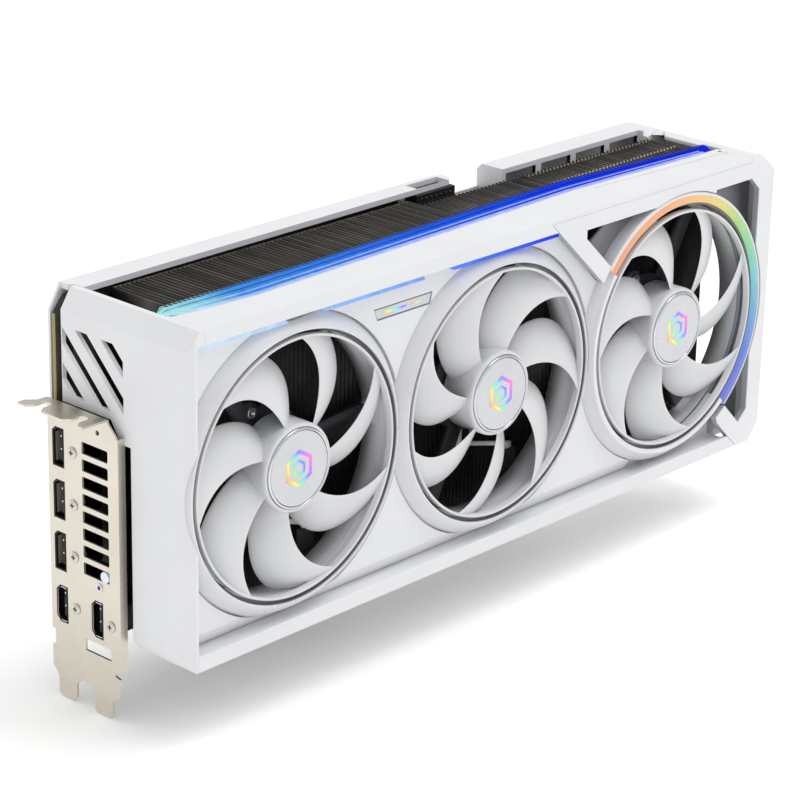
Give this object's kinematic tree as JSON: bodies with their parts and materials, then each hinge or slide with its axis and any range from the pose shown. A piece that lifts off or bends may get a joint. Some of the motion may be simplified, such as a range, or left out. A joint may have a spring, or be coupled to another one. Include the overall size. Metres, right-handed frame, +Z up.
{
  "type": "graphics card",
  "caption": "White desktop graphics card with axial fans on its front and back, a finned heatsink with heat pipes, colour-lit trim and a slotted mounting bracket",
  "frame": {"origin": "middle of the edge connector's key notch, in the middle of the board's thickness, level with the contacts' lower edge", "axes": "+X along the card away from the bracket, +Y from the front fans towards the backplate, +Z up from the slot"},
  "size_m": [0.3577, 0.0773, 0.1628],
  "materials": {
    "white_shell": "satin white moulding",
    "white_backplate": "powder-coated white",
    "rotor_white": "matt warm white",
    "frame_grey": "matt grey",
    "hub_disc": "pearly disc with a bright edge",
    "bracket_metal": "satin warm nickel",
    "screw_steel": "plated steel",
    "socket_metal": "plated sheet",
    "socket_black": "matt black",
    "board": "dark solder mask",
    "gold": "gold plating",
    "chip": "moulded black",
    "package": "green laminate with a mirror die",
    "pad": "soft pad",
    "choke": "pressed ferrite",
    "capacitor": "aluminium can",
    "fin": "dark plated",
    "pipe": "nickel-plated copper",
    "chamber": "plated plate",
    "lit_ring": "lit diffuser, orange to violet",
    "lit_bar": "lit diffuser, cyan to deep blue",
    "lit_strip": "lit diffuser, pale to mid blue",
    "badge": "pearly foil",
    "motor_steel": "drawn steel",
    "winding": "enamelled copper",
    "cable": "white sheath",
    "header": "ivory nylon",
    "slider": "white nylon"
  },
  "bodies": {
    "card": {"io_bracket": "bracket_metal", "bracket_screws": "screw_steel", "displayport_shells": "socket_metal", "hdmi_shells": "socket_metal", "socket_tongues": "socket_black", "pcb": "board", "edge_contacts": "gold", "gpu_package": "package", "memory_chips": "chip", "thermal_pads": "pad", "chokes": "choke", "capacitors": "capacitor", "riser_board": "board", "power_connector": "socket_black", "power_pins": "screw_steel", "bios_switch_case": "socket_black", "vapor_chamber": "chamber", "heat_pipes": "pipe", "main_fin_stack": "fin", "far_fin_stack": "fin", "left_end_cover": "white_shell", "top_rail": "white_shell", "right_end_cover": "white_shell", "bottom_rail": "white_shell", "front_panel": "white_shell", "corner_frame": "white_shell", "badge_plate": "badge", "light_ring": "lit_ring", "light_bar": "lit_bar", "front_light_strips": "lit_strip", "fan_1_collar": "white_shell", "fan_2_collar": "white_shell", "fan_3_collar": "white_shell", "fan_1_frame": "frame_grey", "fan_2_frame": "frame_grey", "fan_3_frame": "frame_grey", "rear_fan_frame": "frame_grey", "fan_stators": "winding", "fan_bearings": "screw_steel", "fan_cables": "cable", "fan_headers": "header", "backplate": "white_backplate", "rear_housing": "white_shell", "backplate_screws": "screw_steel", "cooler_screws": "screw_steel", "cooler_standoffs": "screw_steel", "fan_screws": "screw_steel"},
    "fan_1": {"fan_1_rotor": "rotor_white", "fan_1_motor_cup": "motor_steel", "fan_1_hub_cap": "hub_disc"},
    "fan_2": {"fan_2_rotor": "rotor_white", "fan_2_motor_cup": "motor_steel", "fan_2_hub_cap": "hub_disc"},
    "fan_3": {"fan_3_rotor": "rotor_white", "fan_3_motor_cup": "motor_steel", "fan_3_hub_cap": "hub_disc"},
    "rear_fan": {"rear_fan_rotor": "rotor_white", "rear_fan_motor_cup": "motor_steel"},
    "switch_slider": {"bios_switch_slider": "slider"}
  },
  "joints": [
    {"name": "fan_1_spin", "type": "hinge", "parent": "card", "child": "fan_1", "pos_m": [0.0006, -0.0727, 0.0816], "axis": [0, 1, 0], "continuous": true},
    {"name": "fan_2_spin", "type": "hinge", "parent": "card", "child": "fan_2", "pos_m": [0.1132, -0.0727, 0.0816], "axis": [0, 1, 0], "continuous": true},
    {"name": "fan_3_spin", "type": "hinge", "parent": "card", "child": "fan_3", "pos_m": [0.2258, -0.0727, 0.0816], "axis": [0, 1, 0], "continuous": true},
    {"name": "rear_fan_spin", "type": "hinge", "parent": "card", "child": "rear_fan", "pos_m": [0.2352, 0.0025, 0.0816], "axis": [0, 1, 0], "continuous": true},
    {"name": "firmware_switch", "type": "slide", "parent": "card", "child": "switch_slider", "axis": [1, 0, 0], "range_m": [0, 0.002]}
  ]
}
